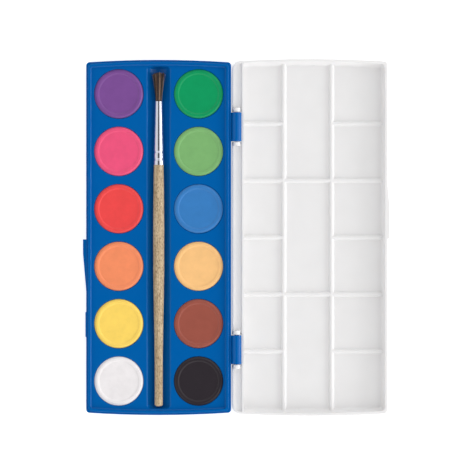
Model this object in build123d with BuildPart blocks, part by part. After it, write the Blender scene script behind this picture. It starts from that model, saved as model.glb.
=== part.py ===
"""A child's watercolour box, lying open: a blue tray with twelve paint tablets and a brush,
and a white lid that serves as the mixing palette.

Millimetres, +Z up. The hinge line runs along Y above the origin. The tray lies on the -X side
and the open lid on the +X side, both flat on the table at Z = 0.
"""

from build123d import *

import os
from math import asin, cos, degrees, pi, radians, sin, sqrt

# Paint tablets, in six rows along Y and two columns
tablet_diameter = 30.0
tablet_height = 5.5
tablet_bevel_width = 1.2
tablet_bevel_drop = 0.8
dish_diameter = 25.4
dish_edge = 0.8
dish_depth = 0.35
row_count = 6
row_pitch = 35.3
column_pitch = 49.0
colour_names = (
    ("purple", "green"),
    ("pink", "light_green"),
    ("red", "blue"),
    ("orange", "peach"),
    ("yellow", "brown"),
    ("white", "black"),
)

# Tray, seen from above: straight long sides and gently bowed ends
tray_width = 89.1
tray_length = 218.3
end_bow = 1.5
tray_corner_radius = 2.2
tray_wall = 1.4
shoulder_height = 10.3
shoulder_round = 0.4
rim_setback = 1.1
rim_thickness = 1.4
rim_rise = 1.3
rim_round = 0.4
rim_corner_radius = 2.8
deck_drop = 1.6
deck_thickness = 1.4
deck_foot_round = 1.1
well_clearance = 0.2
well_mouth_chamfer = 0.45
tablet_stand_proud = 0.3
cup_wall = 1.0
cup_floor = 1.2
trough_radius = 7.6
trough_depth = 4.4
trough_edge_round = 1.6
trough_end_round = 2.0
trough_wall = 1.2
trough_end_margin = 1.5
stiffener_thickness = 1.0
stiffener_foot_gap = 1.5

# Lid, a shallow dish of the same plan with ridges that part its mixing wells
lid_height = 7.6
lid_wall = 1.6
lid_panel = 1.4
lid_lean = 1.9
lid_land_depth = 1.6
lid_inner_draft = 22.0
lid_fit_gap = 0.3
lid_seat_gap = 0.1
lid_corner_radius = 2.6
lid_edge_round = 0.8
lid_rim_round = 0.3
lid_floor_round = 1.6
dish_corner_radius = 3.1
ridge_height = 1.5
ridge_base = 3.4
ridge_top = 1.3
ridge_round = 0.5
ridge_columns = (29.2, 58.7)
ridge_pitch = 35.15

# Snap hinge: two hooks on the tray hold two pins on the lid
hook_outer_radius = 3.1
hook_length = 17.7
hook_spacing = 137.0
hook_shift = -0.5
hook_wall_gap = 0.2
hook_mouth = 2.4
hook_neck_height = 2.6
pin_radius = 1.5
pin_running_gap = 0.1
boss_radius = 2.2
boss_length = 2.4
notch_gap = 0.4
hinge_wall_x = 3.4
hinge_wall_thickness = 1.1
flange_reach = 2.8
flange_base = 5.2
flange_thickness = 1.4
flange_lip = 1.2
flange_corner_radius = 5.5

# Thumb tabs at the front edge, one on each half, and the catch pad beside them
tab_reach = 94.4
tab_split_y = -1.0
tab_split_gap = 0.3
tab_height = 2.6
tab_drop = 0.5
tray_tab_flat = 8.5
tray_tab_length = 32.0
lid_tab_flat = 18.0
lid_tab_length = 32.7
catch_centre_y = -53.5
catch_length = 15.4
catch_reach = 0.5
catch_height = 4.0

# Brush, lying along the trough with its hair towards +Y
brush_lift = 0.05
ferrule_hair_y = 83.7
ferrule_end_y = 44.6
handle_end_y = -103.7
ferrule_hair_radius = 2.25
ferrule_end_radius = 3.2
ferrule_wall = 0.3
crimp_offsets = (3.3, 7.9)
crimp_depth = 0.22
crimp_half_width = 0.6
tenon_length = 14.0
tenon_gap = 0.03
handle_outline = (
    (44.6, 3.0),
    (7.1, 3.4),
    (-31.6, 3.25),
    (-63.0, 2.7),
    (-95.0, 2.5),
)
handle_tip_radius = 2.5
handle_tip_round = 1.2
hair_count = 300
hair_tip_y = 101.9
hair_root_depth = 0.5
hair_root_radius = 1.74
hair_flare_across = 3.9
hair_flare_down = 3.15
hair_strand_radius = 0.062
hair_dome = 1.5
hair_stagger = 1.6
hair_plug_gap = 0.02
hair_plug_length = 3.0

# Sizes worked out from the ones above
hook_wall_x = -(hook_outer_radius + hook_wall_gap)
tray_front_x = hook_wall_x - tray_width
tray_centre_x = hook_wall_x - tray_width / 2
tray_half = tray_length / 2
rim_front_x = tray_front_x + rim_setback
rim_hinge_x = -(hinge_wall_x + hinge_wall_thickness + lid_fit_gap)
rim_half = tray_half - rim_setback
rim_top = shoulder_height + rim_rise
deck_z = rim_top - deck_drop
deck_underside = deck_z - deck_thickness
well_radius = tablet_diameter / 2 + well_clearance
well_floor_z = deck_z + tablet_stand_proud - tablet_height
cup_base = well_floor_z - cup_floor
trough_half = rim_half - rim_thickness - trough_end_margin
lid_front_x = -rim_front_x + lid_fit_gap + lid_wall
lid_half = rim_half + lid_fit_gap + lid_wall
lid_floor_z = lid_panel
hinge_z = (shoulder_height + lid_seat_gap + lid_height) / 2
trough_centre = trough_radius - trough_depth
brush_z = deck_z - trough_depth + brush_lift + max(r for _, r in handle_outline)
hook_centres = (hook_shift - hook_spacing / 2, hook_shift + hook_spacing / 2)
notch_half = hook_length / 2 + notch_gap

# Plane across the hinge line and plane along the brush, whose sketch X is the model's Y
brush_plane = Plane(origin=(tray_centre_x, 0, brush_z), x_dir=(0, 1, 0), z_dir=(1, 0, 0))
brush_axis = Axis((tray_centre_x, 0, brush_z), (0, 1, 0))


def across(x, y, z):
    """Plane facing -Y at the given point, with sketch X along X and sketch Y upwards."""
    return Plane(origin=(x, y, z), x_dir=(1, 0, 0), z_dir=(0, -1, 0))


def tablet_spot(row, column):
    """Centre of a tablet in plan; row 0 is at the hair end, column 0 at the front."""
    x = tray_centre_x + (column - 0.5) * column_pitch
    y = ((row_count - 1) / 2 - row) * row_pitch
    return x, y


tablet_spots = [tablet_spot(row, column) for row in range(row_count) for column in range(2)]


def bowed_outline(x_a, x_b, half_length, radius_a, radius_b):
    """Plan outline with straight sides at x_a and x_b and ends bowed out to half_length."""
    corner_y = half_length - end_bow
    middle = (x_a + x_b) / 2
    with BuildSketch() as outline:
        with BuildLine():
            Line((x_a, -corner_y), (x_a, corner_y))
            ThreePointArc((x_a, corner_y), (middle, half_length), (x_b, corner_y))
            Line((x_b, corner_y), (x_b, -corner_y))
            ThreePointArc((x_b, -corner_y), (middle, -half_length), (x_a, -corner_y))
        make_face()
        fillet(outline.vertices().group_by(Axis.X)[0], radius_a)
        fillet(outline.vertices().group_by(Axis.X)[-1], radius_b)
    return outline.sketch


def thumb_tab(wall_x, side, flat, length):
    """Plan of a thumb tab: full reach beside the split line, then sloping back to the wall."""
    outward = 1 if wall_x > 0 else -1
    start = tab_split_y + side * tab_split_gap / 2
    root_x = wall_x - outward * 1.2
    with BuildSketch() as tab:
        with BuildLine():
            Polyline(
                (root_x, start),
                (outward * tab_reach, start),
                (outward * tab_reach, start + side * flat),
                (wall_x, start + side * length),
                (root_x, start + side * length),
                close=True,
            )
        make_face()
    return tab.sketch


def deck_recess():
    """The space above the deck, with a round where the deck meets the rim."""
    radius = tray_corner_radius - 0.6
    with BuildPart() as recess:
        with BuildSketch(Plane.XY.offset(deck_z)):
            add(
                bowed_outline(
                    rim_front_x + rim_thickness,
                    rim_hinge_x - rim_thickness,
                    rim_half - rim_thickness,
                    radius,
                    radius,
                )
            )
        extrude(amount=deck_drop + 1)
        fillet(recess.faces().sort_by(Axis.Z)[0].edges(), deck_foot_round)
    return recess.part


def well_space():
    """The space that one tablet drops into, centred on Z, with a chamfered mouth at the deck."""
    top = rim_top + 1
    mouth = well_radius + well_mouth_chamfer
    with BuildPart() as well:
        with BuildSketch(Plane.XZ):
            with BuildLine():
                Polyline(
                    (mouth, deck_z),
                    (mouth, top),
                    (0, top),
                    (0, well_floor_z),
                    (well_radius, well_floor_z),
                    (well_radius, deck_z - well_mouth_chamfer),
                    close=True,
                )
            make_face()
        revolve(axis=Axis.Z)
    return well.part


def trough_space():
    """The shallow round-bottomed space that the brush lies in, with rounded upper edges."""
    reach = trough_radius + trough_edge_round
    turn = degrees(asin((trough_centre + trough_edge_round) / reach))
    edge_x = reach * cos(radians(turn))
    top = rim_top + 1 - deck_z
    with BuildPart() as trough:
        with BuildSketch(across(tray_centre_x, trough_half, deck_z)):
            with BuildLine():
                right = JernArc((edge_x, 0), (-1, 0), trough_edge_round, 90 - turn)
                bowl = JernArc(right @ 1, right % 1, trough_radius, -(180 - 2 * turn))
                left = JernArc(bowl @ 1, bowl % 1, trough_edge_round, 90 - turn)
                Polyline(left @ 1, (-edge_x, top), (edge_x, top), (edge_x, 0))
            make_face()
        extrude(amount=2 * trough_half)
        bowl_ends = trough.edges().filter_by(GeomType.CIRCLE).group_by(SortBy.RADIUS)[-1]
        fillet(bowl_ends, trough_end_round)
    return trough.part


def lid_dish_space():
    """The inside of the lid's dish: an upright land at the edge, then sloping sides."""
    inner_x = hinge_wall_x + hinge_wall_thickness
    land_z = lid_height - lid_land_depth
    corner = dish_corner_radius
    outline = (inner_x - 12, lid_front_x - lid_wall, lid_half - lid_wall, corner, corner)
    with BuildPart() as dish:
        with BuildSketch(Plane.XY.offset(land_z)):
            add(bowed_outline(*outline))
        extrude(amount=-(land_z - lid_floor_z), taper=lid_inner_draft)
        with BuildSketch(Plane.XY.offset(land_z)):
            add(bowed_outline(*outline))
        extrude(amount=lid_land_depth + 1)
        split(bisect_by=Plane(origin=(inner_x, 0, 0), z_dir=(1, 0, 0)), keep=Keep.TOP)
        floor_edges = dish.faces().sort_by(Axis.Z)[0].edges().sort_by(Axis.X)[1:]
        fillet(floor_edges, lid_floor_round)
    return dish.part


def ridge_section():
    """Section of a mixing-well ridge, its foot a little below the floor it stands on."""
    with BuildSketch() as section:
        with BuildLine():
            Polyline(
                (-ridge_base / 2, -0.3),
                (-ridge_base / 2, 0),
                (-ridge_top / 2, ridge_height),
                (ridge_top / 2, ridge_height),
                (ridge_base / 2, 0),
                (ridge_base / 2, -0.3),
                close=True,
            )
        make_face()
        fillet(section.vertices().group_by(Axis.Y)[-1], ridge_round)
    return section.sketch


recess_space = deck_recess()
tablet_space = well_space()
brush_space = trough_space()

# Tray: skirt and rim, then the deck and what hangs below it
with BuildPart() as tray:
    with BuildSketch():
        add(
            bowed_outline(
                tray_front_x, hook_wall_x, tray_half, tray_corner_radius, tray_corner_radius
            )
        )
    extrude(amount=shoulder_height)
    fillet(tray.faces().sort_by(Axis.Z)[-1].edges(), shoulder_round)
    with BuildSketch(Plane.XY.offset(shoulder_height - 0.5)):
        add(bowed_outline(rim_front_x, rim_hinge_x, rim_half, rim_corner_radius, 1.9))
    extrude(amount=rim_rise + 0.5)
    fillet(tray.faces().sort_by(Axis.Z)[-1].edges(), rim_round)
    add(recess_space, mode=Mode.SUBTRACT)
    with BuildSketch():
        add(
            bowed_outline(
                tray_front_x + tray_wall,
                hook_wall_x - tray_wall,
                tray_half - tray_wall,
                tray_corner_radius - 0.8,
                tray_corner_radius - 0.8,
            )
        )
    extrude(amount=deck_underside, mode=Mode.SUBTRACT)

    # Cups for the tablets, the trough's underside and the stiffeners between rows
    with BuildSketch(Plane.XY.offset(cup_base)):
        with Locations(*tablet_spots):
            Circle(well_radius + cup_wall)
    extrude(amount=deck_underside - cup_base + 0.2)
    with BuildSketch(across(tray_centre_x, trough_half + trough_wall, deck_z)):
        with Locations((0, trough_centre)):
            Circle(trough_radius + trough_wall)
        with Locations((0, -0.3)):
            Rectangle(
                3 * trough_radius,
                3 * trough_radius,
                align=(Align.CENTER, Align.MIN),
                mode=Mode.SUBTRACT,
            )
    extrude(amount=2 * (trough_half + trough_wall))
    with BuildSketch(Plane.XY.offset(cup_base + stiffener_foot_gap)):
        with Locations((tray_centre_x, 0)):
            with GridLocations(1, row_pitch, 1, row_count - 1):
                Rectangle(tray_width - tray_wall, stiffener_thickness)
    extrude(amount=deck_underside - cup_base - stiffener_foot_gap + 0.2)
    add(brush_space, mode=Mode.SUBTRACT)
    with Locations(*tablet_spots):
        add(tablet_space, mode=Mode.SUBTRACT)

    # Thumb tab and catch pad on the front wall
    with BuildSketch(Plane.XY.offset(shoulder_height - tab_drop - tab_height)):
        add(thumb_tab(tray_front_x, -1, tray_tab_flat, tray_tab_length))
    extrude(amount=tab_height)
    with BuildSketch(Plane.XY.offset(shoulder_height - tab_drop - catch_height)):
        with Locations((tray_front_x, catch_centre_y)):
            Rectangle(2 * catch_reach, catch_length)
    extrude(amount=catch_height)

    # Hinge hooks: round knuckles, open underneath, on short necks from the hinge wall
    for hook_y in hook_centres:
        with BuildSketch(across(0, hook_y + hook_length / 2, hinge_z)):
            Circle(hook_outer_radius)
            with Locations((hook_wall_x - tray_wall / 2, shoulder_height - tab_drop - hinge_z)):
                Rectangle(
                    hook_outer_radius + tray_wall / 2,
                    hook_neck_height,
                    align=(Align.MIN, Align.MAX),
                )
            Circle(pin_radius + pin_running_gap, mode=Mode.SUBTRACT)
            with Locations((0, -hook_outer_radius)):
                Rectangle(hook_mouth, 2 * hook_outer_radius, mode=Mode.SUBTRACT)
        extrude(amount=hook_length)
tray.part.label = "tray"

dish_space = lid_dish_space()
ridge_profile = ridge_section()
ridge_end_y = lid_half - lid_wall - 1.0
ridge_end_x = lid_front_x - lid_wall - 0.7
ridge_start_x = hinge_wall_x + hinge_wall_thickness / 2

# Lid: dish, hinge flange, ridges, pins and thumb tab
with BuildPart() as lid:
    with BuildSketch(Plane.XY.offset(lid_height)):
        add(
            bowed_outline(
                -flange_reach, lid_front_x, lid_half, flange_corner_radius, lid_corner_radius
            )
        )
    with BuildSketch():
        add(
            bowed_outline(
                lid_lean - flange_reach,
                lid_front_x - lid_lean,
                lid_half - lid_lean,
                flange_corner_radius - lid_lean,
                lid_corner_radius - 0.7 * lid_lean,
            )
        )
    loft(ruled=True)
    fillet(lid.faces().sort_by(Axis.Z)[0].edges(), lid_edge_round)
    fillet(lid.faces().sort_by(Axis.Z)[-1].edges(), lid_rim_round)
    add(dish_space, mode=Mode.SUBTRACT)

    # Below the hinge flange the lid ends at its upright hinge wall
    with BuildSketch():
        with Locations((hinge_wall_x, 0)):
            Rectangle(20, 2 * lid_half + 10, align=(Align.MAX, Align.CENTER))
    extrude(amount=flange_base, mode=Mode.SUBTRACT)
    with BuildSketch(Plane.XY.offset(flange_base + flange_thickness)):
        add(
            bowed_outline(
                flange_lip - flange_reach, lid_front_x, lid_half - lid_wall, 4.3, 2
            )
        )
        with Locations((hinge_wall_x, 0)):
            Rectangle(
                200, 400, align=(Align.MIN, Align.CENTER), mode=Mode.SUBTRACT
            )
    extrude(amount=4, mode=Mode.SUBTRACT)

    # Ridges: two along the lid, the rest across it, with double wells in the middle column
    with BuildSketch(*[across(x, ridge_end_y, lid_floor_z) for x in ridge_columns]):
        add(ridge_profile)
    extrude(amount=2 * ridge_end_y)
    for step in range(-2, 3):
        full = step % 2 == 1
        start_x, end_x = ridge_columns
        spans = [(ridge_start_x, ridge_end_x)]
        if not full:
            spans = [(ridge_start_x, start_x), (end_x, ridge_end_x)]
        for span_start, span_end in spans:
            with BuildSketch(
                Plane(
                    origin=(span_start, step * ridge_pitch, lid_floor_z),
                    x_dir=(0, 1, 0),
                    z_dir=(1, 0, 0),
                )
            ):
                add(ridge_profile)
            extrude(amount=span_end - span_start)

    # Notches in the flange for the tray's hooks, each crossed by a pin between two bosses
    with BuildSketch(Plane.XY.offset(flange_base - 1)):
        with Locations(*[(hinge_wall_x, y) for y in hook_centres]):
            Rectangle(10, 2 * notch_half, align=(Align.MAX, Align.CENTER))
    extrude(amount=lid_height, mode=Mode.SUBTRACT)
    boss_ends = [
        y + side * (notch_half + boss_length / 2) + boss_length / 2
        for y in hook_centres
        for side in (-1, 1)
    ]
    with BuildSketch(*[across(0, y, hinge_z) for y in boss_ends]):
        Circle(boss_radius)
        Rectangle(
            2 * boss_radius, hinge_z - flange_base - 0.4, align=(Align.CENTER, Align.MAX)
        )
    extrude(amount=boss_length)
    pin_half = notch_half + boss_length / 2
    with BuildSketch(*[across(0, y + pin_half, hinge_z) for y in hook_centres]):
        Circle(pin_radius)
    extrude(amount=2 * pin_half)

    # Thumb tab on the front wall
    with BuildSketch(Plane.XY.offset(lid_height - tab_height)):
        add(thumb_tab(lid_front_x, 1, lid_tab_flat, lid_tab_length))
    extrude(amount=tab_height)
lid.part.label = "lid"


def make_tablet(x, y):
    """A round cake of paint with a bevelled edge and a shallow dish in its top."""
    radius = tablet_diameter / 2
    dish_radius = dish_diameter / 2
    dish_z = tablet_height - dish_depth
    with BuildPart() as tablet:
        with BuildSketch(across(x, y, well_floor_z)):
            with BuildLine():
                Polyline(
                    (0, 0),
                    (radius, 0),
                    (radius, tablet_height - tablet_bevel_drop),
                    (radius - tablet_bevel_width, tablet_height),
                    (dish_radius, tablet_height),
                    (dish_radius - dish_edge, dish_z),
                    (0, dish_z),
                    close=True,
                )
            make_face()
        revolve(axis=Axis((x, y, 0), (0, 0, 1)))
    return tablet.part


tablets = {}
for row, names in enumerate(colour_names):
    for column, colour in enumerate(names):
        cake = make_tablet(*tablet_spot(row, column))
        cake.label = "paint_" + colour
        tablets[cake.label] = cake


def ferrule_radius(y):
    """Outer radius of the tapered ferrule at a point along it."""
    share = (y - ferrule_end_y) / (ferrule_hair_y - ferrule_end_y)
    return ferrule_end_radius + share * (ferrule_hair_radius - ferrule_end_radius)


def crimped_line(inset, end_y, groove_margin=0.0):
    """Line along the ferrule, inset from its outer surface and dipping at each crimp."""
    points = [(ferrule_end_y, ferrule_radius(ferrule_end_y) - inset)]
    half = crimp_half_width + groove_margin
    for offset_y in crimp_offsets:
        middle = ferrule_end_y + offset_y
        for step, share in ((-half, 0), (-half / 3, 1), (half / 3, 1), (half, 0)):
            depth = share * (crimp_depth + groove_margin)
            points.append((middle + step, ferrule_radius(middle + step) - inset - depth))
    points.append((end_y, ferrule_radius(end_y) - inset))
    Polyline(*points)


# Ferrule: a thin tapered metal tube, crimped twice near the handle
with BuildPart() as brush_ferrule:
    with BuildSketch(brush_plane):
        with BuildLine():
            crimped_line(0, ferrule_hair_y)
            crimped_line(ferrule_wall, ferrule_hair_y)
            for end_y in (ferrule_end_y, ferrule_hair_y):
                Line(
                    (end_y, ferrule_radius(end_y)),
                    (end_y, ferrule_radius(end_y) - ferrule_wall),
                )
        make_face()
    revolve(axis=brush_axis)
brush_ferrule.part.label = "brush_ferrule"

# Handle: a turned stick, butted against the ferrule, with a tenon grooved for the crimps
with BuildPart() as brush_handle:
    tenon_end_y = ferrule_end_y + tenon_length
    tenon_inset = ferrule_wall + tenon_gap
    tip_y = handle_end_y + handle_tip_round
    with BuildSketch(brush_plane):
        with BuildLine():
            crimped_line(tenon_inset, tenon_end_y, groove_margin=0.05)
            Polyline(
                (tenon_end_y, ferrule_radius(tenon_end_y) - tenon_inset),
                (tenon_end_y, 0),
                (handle_end_y, 0),
                (handle_end_y, handle_tip_radius - handle_tip_round),
            )
            JernArc(
                (handle_end_y, handle_tip_radius - handle_tip_round),
                (0, 1),
                handle_tip_round,
                -90,
            )
            Line((tip_y, handle_tip_radius), handle_outline[-1])
            Spline(*reversed(handle_outline), tangents=((1, 0), (1, -0.02)))
            Line(handle_outline[0], (ferrule_end_y, ferrule_radius(ferrule_end_y) - tenon_inset))
        make_face()
    revolve(axis=brush_axis)
brush_handle.part.label = "brush_handle"


def hair_strand(index):
    """One three-sided strand from the root disc, flaring outwards to the blunt tip."""
    share = sqrt((index + 0.5) / hair_count)
    angle = index * pi * (3 - sqrt(5))
    root_y = ferrule_hair_y - hair_root_depth
    full_length = hair_tip_y - root_y
    shortfall = hair_dome * share**2 + hair_stagger * ((index * 0.618034) % 1)
    reach = 1 - shortfall / full_length
    root_x = share * hair_root_radius * cos(angle)
    root_z = share * hair_root_radius * sin(angle)
    grow_x = 1 + reach * (hair_flare_across / hair_root_radius - 1)
    grow_z = 1 + reach * (hair_flare_down / hair_root_radius - 1)
    start = across(tray_centre_x + root_x, root_y - 0.2, brush_z + root_z)
    end = across(
        tray_centre_x + root_x * grow_x,
        root_y + reach * full_length,
        brush_z + root_z * grow_z,
    )
    turn = 360 * ((index * 0.754878) % 1)
    with BuildPart() as strand:
        for plane in (start, end):
            with BuildSketch(plane):
                RegularPolygon(hair_strand_radius, 3, rotation=turn)
        loft()
    return strand.part


# Hair: separate strands fused to a thin plug that fits the ferrule's mouth
strands = [hair_strand(index) for index in range(hair_count)]
with BuildPart() as brush_bristles:
    plug_front_y = ferrule_hair_y - hair_root_depth
    plug_back_y = plug_front_y - hair_plug_length
    plug_inset = ferrule_wall + hair_plug_gap
    with BuildSketch(brush_plane):
        with BuildLine():
            Polyline(
                (plug_back_y, 0),
                (plug_front_y, 0),
                (plug_front_y, ferrule_radius(plug_front_y) - plug_inset),
                (plug_back_y, ferrule_radius(plug_back_y) - plug_inset),
                close=True,
            )
        make_face()
    revolve(axis=brush_axis)
    add(strands)
brush_bristles.part.label = "brush_bristles"

# One file for each piece
os.makedirs("parts", exist_ok=True)
for piece in (tray, lid, brush_handle, brush_ferrule, brush_bristles):
    export_step(piece.part, "parts/" + piece.part.label + ".step")
for name, cake in tablets.items():
    export_step(cake, "parts/" + name + ".step")
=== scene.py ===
# %% [markdown]
# # A watercolour paint set in Blender
#
# The object is a shallow plastic box, lying open. Its blue tray holds twelve round cakes of
# paint and a brush, and its milky white lid is a palette of ribbed mixing wells. This lesson
# dresses a ready-made frame: the rigid shapes come from it at their real size, in metres, and
# each cell adds a finish, a soft piece, a light or the camera.

# %% Load the frame and keep its size
from math import cos, pi, sin, sqrt

import bmesh
import bpy
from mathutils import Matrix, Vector
from mathutils.noise import noise


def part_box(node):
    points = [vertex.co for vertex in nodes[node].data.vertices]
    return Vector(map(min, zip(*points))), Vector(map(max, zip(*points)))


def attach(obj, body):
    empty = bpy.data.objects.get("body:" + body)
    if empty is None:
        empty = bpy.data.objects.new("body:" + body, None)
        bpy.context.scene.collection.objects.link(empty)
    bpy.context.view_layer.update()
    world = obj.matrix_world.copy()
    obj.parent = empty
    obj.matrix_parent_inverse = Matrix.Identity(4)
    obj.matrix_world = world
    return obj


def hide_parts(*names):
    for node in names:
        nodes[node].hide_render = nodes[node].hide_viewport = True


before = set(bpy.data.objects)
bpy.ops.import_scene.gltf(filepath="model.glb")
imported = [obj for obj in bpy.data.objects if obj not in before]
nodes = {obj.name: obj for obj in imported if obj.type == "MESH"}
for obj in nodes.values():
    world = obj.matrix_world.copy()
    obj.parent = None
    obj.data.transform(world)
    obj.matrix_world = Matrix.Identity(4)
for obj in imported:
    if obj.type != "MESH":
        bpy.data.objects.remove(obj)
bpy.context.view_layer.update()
print("pieces in the frame:", ", ".join(sorted(nodes)))

# %% [markdown]
# Colours are easiest to judge as the 0 to 255 numbers that a picture viewer shows, but shaders
# work in linear light. One small helper turns the first into the second, so that every colour
# below can be written in the familiar way.

# %% Colours as a viewer shows them
def shade(red, green, blue):
    channels = []
    for value in (red, green, blue):
        value = value / 255
        if value <= 0.04045:
            channels.append(value / 12.92)
        else:
            channels.append(((value + 0.055) / 1.055) ** 2.4)
    return (*channels, 1.0)


TRAY_BLUE = shade(0, 94, 169)
LID_WHITE = shade(237, 236, 236)
print("tray blue in linear light:", [round(c, 3) for c in TRAY_BLUE[:3]])

# %% [markdown]
# Every finish here starts from the same few steps: an empty material with one Principled
# shader, object coordinates so that a texture is measured in real millimetres, and a noise
# texture whose feature size is given in millimetres. Writing these once keeps the cells that
# follow about the finish itself.

# %% Helpers for building finishes
def new_finish(name, roughness, **settings):
    material = bpy.data.materials.new(name)
    material.use_nodes = True
    tree = material.node_tree
    shader = tree.nodes["Principled BSDF"]
    shader.inputs["Roughness"].default_value = roughness
    for key, value in settings.items():
        shader.inputs[key.replace("_", " ")].default_value = value
    return material, tree, shader


def place_texture(tree, stretch=(1, 1, 1)):
    """Object coordinates in millimetres, squeezed along each axis by stretch."""
    where = tree.nodes.new("ShaderNodeTexCoord")
    scale = tree.nodes.new("ShaderNodeMapping")
    scale.inputs["Scale"].default_value = [1000 * s for s in stretch]
    tree.links.new(where.outputs["Object"], scale.inputs["Vector"])
    return scale.outputs["Vector"]


def add_noise(tree, vector, size_mm, detail=3.0, roughness=0.5):
    texture = tree.nodes.new("ShaderNodeTexNoise")
    texture.inputs["Scale"].default_value = 1 / size_mm
    texture.inputs["Detail"].default_value = detail
    texture.inputs["Roughness"].default_value = roughness
    tree.links.new(vector, texture.inputs["Vector"])
    return texture.outputs["Fac"]


def spread(tree, value, low_in, high_in, low_out, high_out):
    """Stretches a texture's useful range over the range that a socket wants."""
    node = tree.nodes.new("ShaderNodeMapRange")
    for socket, number in zip(node.inputs[1:5], (low_in, high_in, low_out, high_out)):
        socket.default_value = number
    tree.links.new(value, node.inputs[0])
    return node.outputs[0]


def blend_colours(tree, factor, first, second):
    node = tree.nodes.new("ShaderNodeMix")
    node.data_type = "RGBA"
    tree.links.new(factor, node.inputs["Factor"])
    for socket, colour in ((node.inputs[6], first), (node.inputs[7], second)):
        if isinstance(colour, bpy.types.NodeSocket):
            tree.links.new(colour, socket)
        else:
            socket.default_value = colour
    return node.outputs[2]


def add_bump(tree, shader, height, depth_mm, below=None):
    node = tree.nodes.new("ShaderNodeBump")
    node.inputs["Strength"].default_value = 1.0
    node.inputs["Distance"].default_value = depth_mm / 1000
    tree.links.new(height, node.inputs["Height"])
    if below is not None:
        tree.links.new(below, node.inputs["Normal"])
    tree.links.new(node.outputs["Normal"], shader.inputs["Normal"])
    return node.outputs["Normal"]


def dress(node_name, material):
    """Gives a frame piece its finish, on every material slot it has."""
    piece = nodes[node_name]
    if not piece.material_slots:
        piece.data.materials.append(material)
    for slot in piece.material_slots:
        slot.link = "OBJECT"
        slot.material = material


def darker(colour, share):
    return (*[c * share for c in colour[:3]], 1.0)


# %% [markdown]
# The tray is injection-moulded polystyrene in a strong blue. Such a moulding is smooth but never
# a perfect mirror: the tool leaves a faint waviness of a few millimetres and a fine texture, and
# the pigment varies by a hair. Two bumps at those two sizes do it, with a small change of
# roughness so that highlights don't look drawn with a ruler.

# %% Blue moulded plastic
def moulded_plastic(name, colour, roughness, **settings):
    material, tree, shader = new_finish(name, roughness, **settings)
    where = place_texture(tree)
    drift = add_noise(tree, where, 14.0, 2.0)
    tint = spread(tree, drift, 0.3, 0.7, 0.0, 1.0)
    mixed = blend_colours(tree, tint, darker(colour, 0.985), darker(colour, 1.01))
    tree.links.new(mixed, shader.inputs["Base Color"])
    patches = add_noise(tree, where, 5.0, 3.0)
    gloss = spread(tree, patches, 0.3, 0.7, roughness - 0.04, roughness + 0.05)
    tree.links.new(gloss, shader.inputs["Roughness"])
    wave = add_bump(tree, shader, add_noise(tree, where, 7.0, 1.0), 0.012)
    add_bump(tree, shader, add_noise(tree, where, 0.35, 2.0), 0.004, wave)
    return material, tree, shader


tray_plastic, _, _ = moulded_plastic("tray_blue_plastic", TRAY_BLUE, 0.2, Specular_IOR_Level=0.18)
dress("tray", tray_plastic)
print("tray finish:", tray_plastic.name)

# %% [markdown]
# The lid is the same kind of moulding in natural, milky polypropylene: thin walls let a little
# light in and scatter it. A touch of subsurface scattering over a couple of millimetres gives
# that softness without making the lid look like wax.

# %% Milky white plastic
lid_plastic, _, lid_shader = moulded_plastic(
    "lid_milky_plastic",
    LID_WHITE,
    0.36,
    Specular_IOR_Level=0.35,
    Subsurface_Weight=0.2,
    Subsurface_Scale=0.0015,
)
lid_shader.inputs["Subsurface Radius"].default_value = (1.0, 0.95, 0.9)
dress("lid", lid_plastic)
print("lid finish:", lid_plastic.name)

# %% [markdown]
# A watercolour cake is pigment and binder pressed dry in a die. Its face is matt and slightly
# grainy, a little uneven in tone, and its bevelled edge is burnished by the die so it catches
# more light. Each cake gets its own material from one recipe, so the set looks like one batch.

# %% Colours of the twelve cakes
CAKE_COLOURS = {
    "purple": (124, 77, 149),
    "pink": (240, 85, 127),
    "red": (240, 74, 74),
    "orange": (248, 145, 100),
    "yellow": (255, 217, 102),
    "white": (241, 237, 238),
    "green": (0, 154, 93),
    "light_green": (126, 181, 113),
    "blue": (56, 126, 194),
    "peach": (251, 198, 132),
    "brown": (157, 83, 69),
    "black": (43, 37, 43),
}


# %% Pressed paint
def pressed_paint(name, colour):
    material, tree, shader = new_finish(name, 0.36, Specular_IOR_Level=0.3)
    where = place_texture(tree)
    cloud = add_noise(tree, where, 6.0, 4.0, 0.6)
    tint = spread(tree, cloud, 0.3, 0.7, 0.0, 1.0)
    mixed = blend_colours(tree, tint, darker(colour, 0.94), darker(colour, 1.03))
    speck = add_noise(tree, where, 0.5, 3.0, 0.7)
    dots = spread(tree, speck, 0.62, 0.75, 0.0, 0.25)
    mixed = blend_colours(tree, dots, mixed, darker(colour, 0.7))
    tree.links.new(mixed, shader.inputs["Base Color"])
    grain = add_bump(tree, shader, add_noise(tree, where, 0.25, 4.0, 0.65), 0.01)
    add_bump(tree, shader, add_noise(tree, where, 4.0, 2.0), 0.05, grain)
    return material


for cake_name, cake_colour in CAKE_COLOURS.items():
    dress("paint_" + cake_name, pressed_paint("paint_" + cake_name, shade(*cake_colour)))
print("cakes of paint dressed:", len(CAKE_COLOURS))

# %% [markdown]
# The brush handle is a turned stick of raw pale wood. Its grain runs along the stick, so the
# texture is squeezed along Y: long streaks for the growth rings, and short dark flecks where the
# pores are cut open.

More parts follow.
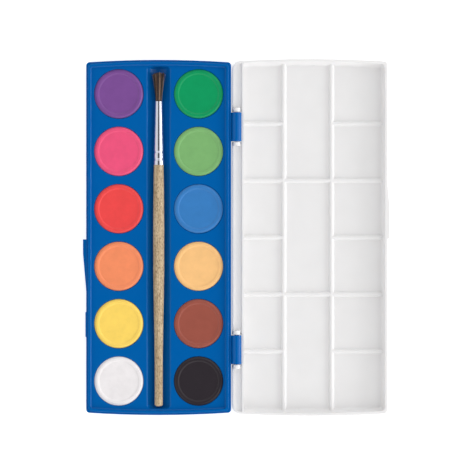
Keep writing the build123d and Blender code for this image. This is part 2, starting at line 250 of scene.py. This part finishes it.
# %% Raw pale wood
wood, wood_tree, wood_shader = new_finish("handle_raw_wood", 0.55)
along = place_texture(wood_tree, (1.0, 0.05, 1.0))
rings = spread(wood_tree, add_noise(wood_tree, along, 0.8, 4.0, 0.6), 0.38, 0.62, 0.0, 1.0)
wood_colour = blend_colours(wood_tree, rings, shade(176, 152, 116), shade(210, 188, 153))
short = place_texture(wood_tree, (1.0, 0.3, 1.0))
pores = spread(wood_tree, add_noise(wood_tree, short, 0.5, 2.0, 0.6), 0.5, 0.6, 0.0, 0.75)
wood_colour = blend_colours(wood_tree, pores, wood_colour, shade(122, 92, 64))
wood_tree.links.new(wood_colour, wood_shader.inputs["Base Color"])
add_bump(wood_tree, wood_shader, add_noise(wood_tree, short, 0.3, 3.0), 0.03)
dress("brush_handle", wood)
print("handle finish:", wood.name)

# %% [markdown]
# The ferrule is a drawn and polished aluminium tube. Drawing leaves very fine lines along it,
# which spread its highlights a little sideways. A shallow bump of long thin noise does that.

# %% Polished aluminium
metal, metal_tree, metal_shader = new_finish("ferrule_aluminium", 0.12, Metallic=0.92)
metal_shader.inputs["Base Color"].default_value = shade(222, 223, 235)
drawn = place_texture(metal_tree, (1.0, 0.03, 1.0))
lines = add_noise(metal_tree, drawn, 0.12, 2.0)
add_bump(metal_tree, metal_shader, lines, 0.002)
polish = spread(metal_tree, lines, 0.3, 0.7, 0.08, 0.16)
metal_tree.links.new(polish, metal_shader.inputs["Roughness"])
dress("brush_ferrule", metal)
print("ferrule finish:", metal.name)

# %% [markdown]
# The hair is the one soft thing in the box: a round bundle held in the ferrule's mouth that
# flares to a blunt, slightly ragged end. It could be a particle system, but plain mesh strands
# travel better to other programs. Each strand is a thin three-sided tube along a gently bent
# line. Roots follow a sunflower pattern, which fills a disc evenly, and every strand keeps its
# place in the pattern as the bundle flares. Neighbours lean, end and take their tone together, in
# locks, because evenly random strands would blur into a smooth cone.

# %% Measure the brush's hair
MM = 0.001
hair_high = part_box("brush_bristles")[1]
ferrule_low, ferrule_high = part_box("brush_ferrule")
hair_middle = ((ferrule_low + ferrule_high) / 2).to_tuple()
mouth_y = ferrule_high[1]
tip_y = hair_high[1]
print("hair from", round(mouth_y / MM, 1), "to", round(tip_y / MM, 1), "mm")

# %% Lay out the strands
STRANDS = 1500
STEPS = 5
NOISE_REACH = 1.6
ROOT_RADIUS = 1.86
TIP_HALF_WIDTH = 3.4
TIP_HALF_HEIGHT = 2.85
ROOT_INSIDE = 0.6
LOCKS_PER_MM = 2.6


def wobble(number, salt):
    """A repeatable value from -1 to 1 for one strand."""
    return noise(Vector((number * 0.731 + salt * 17.3, salt * 3.7, number * 0.113))) * NOISE_REACH


def lock_value(x, z, salt):
    """A value from -1 to 1 that neighbouring strands share, as in a lock of hair."""
    return noise(Vector((x * LOCKS_PER_MM, z * LOCKS_PER_MM, salt))) * NOISE_REACH


def strand_line(number):
    share = sqrt((number + 0.5) / STRANDS)
    angle = number * pi * (3 - sqrt(5))
    stray = max(0.0, wobble(number, 1) - 0.35)
    lock = lock_value(1.5 * share * cos(angle), 0.15 * share * sin(angle), 7.0)
    uneven = 0.3 * share**2 + 0.7 * abs(wobble(number, 2)) + 1.6 * max(0.0, 0.4 + lock)
    length = (tip_y - mouth_y) / MM - uneven
    points = []
    for step in range(STEPS + 1):
        t = step / STEPS
        flare = t * (1 + 0.25 * t) / 1.25
        across = ROOT_RADIUS + (TIP_HALF_WIDTH - ROOT_RADIUS) * flare
        across += (stray * 2.6 + 0.8 * lock) * t**3
        down = ROOT_RADIUS + (TIP_HALF_HEIGHT - ROOT_RADIUS) * flare
        bend = 0.12 * t * t
        x = hair_middle[0] + MM * (share * across * cos(angle) + bend * wobble(number, 3))
        y = mouth_y - MM * ROOT_INSIDE + MM * (length + ROOT_INSIDE) * t
        z = hair_middle[2] + MM * (share * down * sin(angle) + bend * wobble(number, 4))
        points.append(Vector((x, y, z)))
    return points


print("first strand ends at, mm:", [round(c / MM, 1) for c in strand_line(0)[-1]])

# %% Build the bundle of hair
STRAND_RADIUS = 0.055
STRAND_SIDES = 3


def add_smooth_piece(name, shape):
    """Turns a finished bmesh into a smooth-shaded object in the scene."""
    mesh = bpy.data.meshes.new(name)
    shape.to_mesh(mesh)
    shape.free()
    piece = bpy.data.objects.new(name, mesh)
    bpy.context.scene.collection.objects.link(piece)
    for polygon in mesh.polygons:
        polygon.use_smooth = True
    return piece


def skin_rings(shape, rings):
    """Joins each ring of vertices to the next and closes both ends."""
    for low, high in zip(rings, rings[1:]):
        for corner in range(len(low)):
            after = (corner + 1) % len(low)
            shape.faces.new((low[corner], low[after], high[after], high[corner]))
    shape.faces.new(rings[-1])
    shape.faces.new(reversed(rings[0]))


def build_hair():
    shape = bmesh.new()
    tone = shape.verts.layers.float.new("strand_tone")
    for number in range(STRANDS):
        turn = number * 2.4
        line = strand_line(number)
        root_x = (line[0].x - hair_middle[0]) / MM
        root_z = (line[0].z - hair_middle[2]) / MM
        colour = 0.42 + 0.22 * wobble(number, 5) + 0.95 * lock_value(root_x, root_z, 3.0)
        rings = []
        for step, point in enumerate(line):
            radius = STRAND_RADIUS * MM * (1.0 - 0.55 * (step / STEPS) ** 3)
            ring = []
            for corner in range(STRAND_SIDES):
                angle = turn + corner * 2 * pi / STRAND_SIDES
                vertex = shape.verts.new(point + Vector((cos(angle), 0, sin(angle))) * radius)
                vertex[tone] = colour
                ring.append(vertex)
            rings.append(ring)
        skin_rings(shape, rings)
    shape.normal_update()
    return add_smooth_piece("brush_hair", shape)


brush_hair = build_hair()
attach(brush_hair, "brush")
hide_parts("brush_bristles")
print("hair faces:", len(brush_hair.data.polygons))

# %% [markdown]
# Between the strands one should never see daylight at the root, where real hair is imported solid.
# A dark core, shaped like the bundle but a little smaller, closes it and hides the far side. Its
# brown-black colour is painted shade: the shade deep inside a packed bundle, not a hair colour.
# Its profile gives the place along the hair and the half width there, both in millimetres.

# %% Dark core of the bundle, coloured as painted shade
CORE_SIDES = 20
CORE_PROFILE = (
    (-0.5, 1.8),
    (1.5, 1.82),
    (5, 2.0),
    (9, 2.25),
    (12.5, 2.3),
    (14.6, 1.8),
    (15.3, 0.6),
)


def build_core():
    shape = bmesh.new()
    rings = []
    for along_mm, half_width in CORE_PROFILE:
        flattened = 1.0 - 0.16 * max(0.0, along_mm) / 16
        ring = []
        for corner in range(CORE_SIDES):
            angle = corner * 2 * pi / CORE_SIDES
            x = hair_middle[0] + half_width * MM * cos(angle)
            z = hair_middle[2] + half_width * flattened * MM * sin(angle)
            ring.append(shape.verts.new((x, mouth_y + along_mm * MM, z)))
        rings.append(ring)
    skin_rings(shape, rings)
    bmesh.ops.recalc_face_normals(shape, faces=shape.faces)
    return add_smooth_piece("brush_hair_core", shape)


hair_core = build_core()
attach(hair_core, "brush")
print("core faces:", len(hair_core.data.polygons))

# %% [markdown]
# Natural brush hair is a mix of near-black, brown and fawn strands. The tone that each strand
# carries picks its colour from a ramp, and a little sheen gives the soft edge light of hair.

# %% Mixed brown hair
hair, hair_tree, hair_shader = new_finish("mixed_brown_hair", 0.45)
tone_node = hair_tree.nodes.new("ShaderNodeAttribute")
tone_node.attribute_name = "strand_tone"
ramp = hair_tree.nodes.new("ShaderNodeValToRGB")
ramp.color_ramp.elements[0].position = 0.2
ramp.color_ramp.elements[0].color = shade(16, 11, 15)
ramp.color_ramp.elements[1].position = 0.85
ramp.color_ramp.elements[1].color = shade(188, 158, 132)
for position, brown in ((0.45, shade(62, 42, 42)), (0.62, shade(122, 78, 56))):
    ramp.color_ramp.elements.new(position).color = brown
hair_tree.links.new(tone_node.outputs["Fac"], ramp.inputs["Fac"])
hair_tree.links.new(ramp.outputs["Color"], hair_shader.inputs["Base Color"])
hair_shader.inputs["Sheen Weight"].default_value = 0.15
brush_hair.data.materials.append(hair)
# The core's finish is painted shade: streaky dark browns that stand in for the shade inside the
# bundle.
core_shade_finish, core_tree, core_shader = new_finish("hair_core_shadow", 0.8)
core_where = place_texture(core_tree, (1.0, 0.08, 1.0))
core_streaks = add_noise(core_tree, core_where, 0.2, 2.0)
core_shade_mix = blend_colours(core_tree, core_streaks, shade(24, 16, 14), shade(60, 42, 34))
core_tree.links.new(core_shade_mix, core_shader.inputs["Base Color"])
hair_core.data.materials.append(core_shade_finish)
print("hair finish:", hair.name)

# %% [markdown]
# The set lies on a seamless white sweep. To the camera the floor is plain white, yet it still
# takes the object's soft shadow: the floor is a matt white surface with just enough glow of its
# own, seen only by camera and mirror rays, to lift it to white where nothing shades it.

# %% White floor
FLOOR_REACH = 3.0
FLOOR_Z = -0.0001
FLOOR_GLOW = 0.6


def white_floor():
    mesh = bpy.data.meshes.new("floor")
    signs = ((-1, -1), (1, -1), (1, 1), (-1, 1))
    corners = [(x * FLOOR_REACH, y * FLOOR_REACH, FLOOR_Z) for x, y in signs]
    mesh.from_pydata(corners, [], [(0, 1, 2, 3)])
    floor = bpy.data.objects.new("floor", mesh)
    bpy.context.scene.collection.objects.link(floor)
    material = bpy.data.materials.new("white_sweep")
    material.use_nodes = True
    tree = material.node_tree
    tree.nodes.clear()
    matt = tree.nodes.new("ShaderNodeBsdfDiffuse")
    matt.inputs["Color"].default_value = (0.8, 0.8, 0.8, 1)
    glow = tree.nodes.new("ShaderNodeEmission")
    rays = tree.nodes.new("ShaderNodeLightPath")
    seen = rays.outputs["Is Camera Ray"]
    for mirror_ray in ("Is Glossy Ray", "Is Transmission Ray"):
        either = tree.nodes.new("ShaderNodeMath")
        either.operation = "MAXIMUM"
        tree.links.new(seen, either.inputs[0])
        tree.links.new(rays.outputs[mirror_ray], either.inputs[1])
        seen = either.outputs[0]
    level = tree.nodes.new("ShaderNodeMath")
    level.operation = "MULTIPLY"
    level.inputs[1].default_value = FLOOR_GLOW
    tree.links.new(seen, level.inputs[0])
    tree.links.new(level.outputs[0], glow.inputs["Strength"])
    both = tree.nodes.new("ShaderNodeAddShader")
    out = tree.nodes.new("ShaderNodeOutputMaterial")
    tree.links.new(matt.outputs[0], both.inputs[0])
    tree.links.new(glow.outputs[0], both.inputs[1])
    tree.links.new(both.outputs[0], out.inputs["Surface"])
    mesh.materials.append(material)
    return floor


floor = white_floor()
print("floor:", floor.name)

# %% [markdown]
# Small glossy things are often lit inside a white tent with a hole in its roof for the lens. The
# tent gives even, almost shadowless light, and the dark hole keeps flat plastic from glaring
# straight back and draws the fine dark line down the ferrule. The world plays the tent: it is
# white all round and dark within about 20 degrees of straight up. It is a little brighter on the
# right and at the near side, so that each ridge of the lid has a lit flank and a shaded one. An
# even change of this kind leaves a flat floor as bright as before. To the camera it stays white.
# The hole's two limits are heights on a unit sphere, so 0.9 is 26 degrees from straight up.

# %% Light tent with a hole overhead
TENT_STRENGTH = 1.1
BRIGHTER_SIDE = (0.27, -0.12, 0)
HOLE_STRENGTH = 0.03
HOLE_STARTS, HOLE_IS_FULL = 0.9, 0.945


def light_tent(strength, brighter_side):
    world = bpy.data.worlds.new("light_tent")
    world.use_nodes = True
    tree = world.node_tree
    where = tree.nodes.new("ShaderNodeTexCoord")
    split = tree.nodes.new("ShaderNodeSeparateXYZ")
    tree.links.new(where.outputs["Generated"], split.inputs[0])
    up = split.outputs["Z"]
    level = spread(tree, up, HOLE_STARTS, HOLE_IS_FULL, strength, HOLE_STRENGTH)
    lean = tree.nodes.new("ShaderNodeVectorMath")
    lean.operation = "DOT_PRODUCT"
    lean.inputs[1].default_value = brighter_side
    tree.links.new(where.outputs["Generated"], lean.inputs[0])
    total = tree.nodes.new("ShaderNodeMath")
    total.operation = "MULTIPLY_ADD"
    tree.links.new(lean.outputs["Value"], total.inputs[0])
    tree.links.new(level, total.inputs[1])
    tree.links.new(level, total.inputs[2])
    rays = tree.nodes.new("ShaderNodeLightPath")
    shown = tree.nodes.new("ShaderNodeMath")
    shown.operation = "MAXIMUM"
    tree.links.new(total.outputs[0], shown.inputs[0])
    tree.links.new(rays.outputs["Is Camera Ray"], shown.inputs[1])
    tree.links.new(shown.outputs[0], tree.nodes["Background"].inputs["Strength"])
    tree.nodes["Background"].inputs["Color"].default_value = (1, 1, 1, 1)
    bpy.context.scene.world = world
    return world


print("world:", light_tent(TENT_STRENGTH, BRIGHTER_SIDE).name)

# %% [markdown]
# One broad soft lamp stands low on the right. It lets the lid's right wall shade the wells beside
# it, and puts a soft shadow to the left of the brush. It is weak beside the tent, so nothing turns
# harsh.

# %% Low side light
def soft_light(name, place, aim, width, height, watts):
    lamp = bpy.data.lights.new(name, "AREA")
    lamp.shape = "RECTANGLE"
    lamp.size = width
    lamp.size_y = height
    lamp.energy = watts
    light = bpy.data.objects.new(name, lamp)
    light.location = place
    light.rotation_euler = (Vector(aim) - Vector(place)).to_track_quat("-Z", "Y").to_euler()
    bpy.context.scene.collection.objects.link(light)
    return light


soft_light("right_softbox", (1.12, -0.25, 0.32), (0, 0, 0), width=0.9, height=0.3, watts=4.5)
bpy.context.scene.view_settings.view_transform = "Standard"

# %% [markdown]
# The picture is taken from straight above with a long lens, so the box keeps its true plan
# shape. The frame is 291.5 mm wide at the level of the tray's deck.

# %% Camera straight above
FRAME_WIDTH = 0.2915
CAMERA_HEIGHT = 1.6
FRAMED_LEVEL = 0.009
CENTRE_SHIFT = 0.0003
SENSOR_WIDTH = 36.0
lens = bpy.data.cameras.new("camera")
lens.sensor_width = SENSOR_WIDTH
lens.lens = SENSOR_WIDTH * (CAMERA_HEIGHT - FRAMED_LEVEL) / FRAME_WIDTH
camera = bpy.data.objects.new("camera", lens)
camera.location = (CENTRE_SHIFT, CENTRE_SHIFT, CAMERA_HEIGHT)
bpy.context.scene.collection.objects.link(camera)
bpy.context.scene.camera = camera
print("lens, mm:", round(lens.lens))
